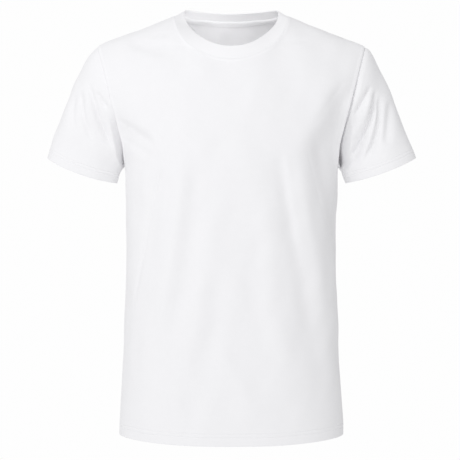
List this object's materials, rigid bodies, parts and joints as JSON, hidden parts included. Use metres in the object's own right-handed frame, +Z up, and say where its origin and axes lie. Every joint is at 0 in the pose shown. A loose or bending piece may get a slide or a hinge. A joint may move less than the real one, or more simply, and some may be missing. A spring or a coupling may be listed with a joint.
{
  "type": "crew neck t-shirt",
  "caption": "Short-sleeved crew neck t-shirt in its worn shape, hollow, with set-in sleeves, a rib neckband, a back neck tape and turned hems.",
  "frame": {"origin": "where the wearer carries it: midway between the two points where a shoulder seam meets the neck seam", "axes": "+Z up, the front of the garment faces -Y, and the wearer's left is +X"},
  "size_m": [0.6306, 0.2299, 0.7366],
  "materials": {
    "jersey": "white cotton single jersey, matt",
    "rib": "white cotton 1x1 rib, matt",
    "tape": "white cotton jersey tape, matt"
  },
  "bodies": {
    "root": {"front_panel": "jersey", "back_panel": "jersey", "left_sleeve": "jersey", "right_sleeve": "jersey", "neck_rib": "rib", "back_neck_tape": "tape"}
  },
  "joints": []
}
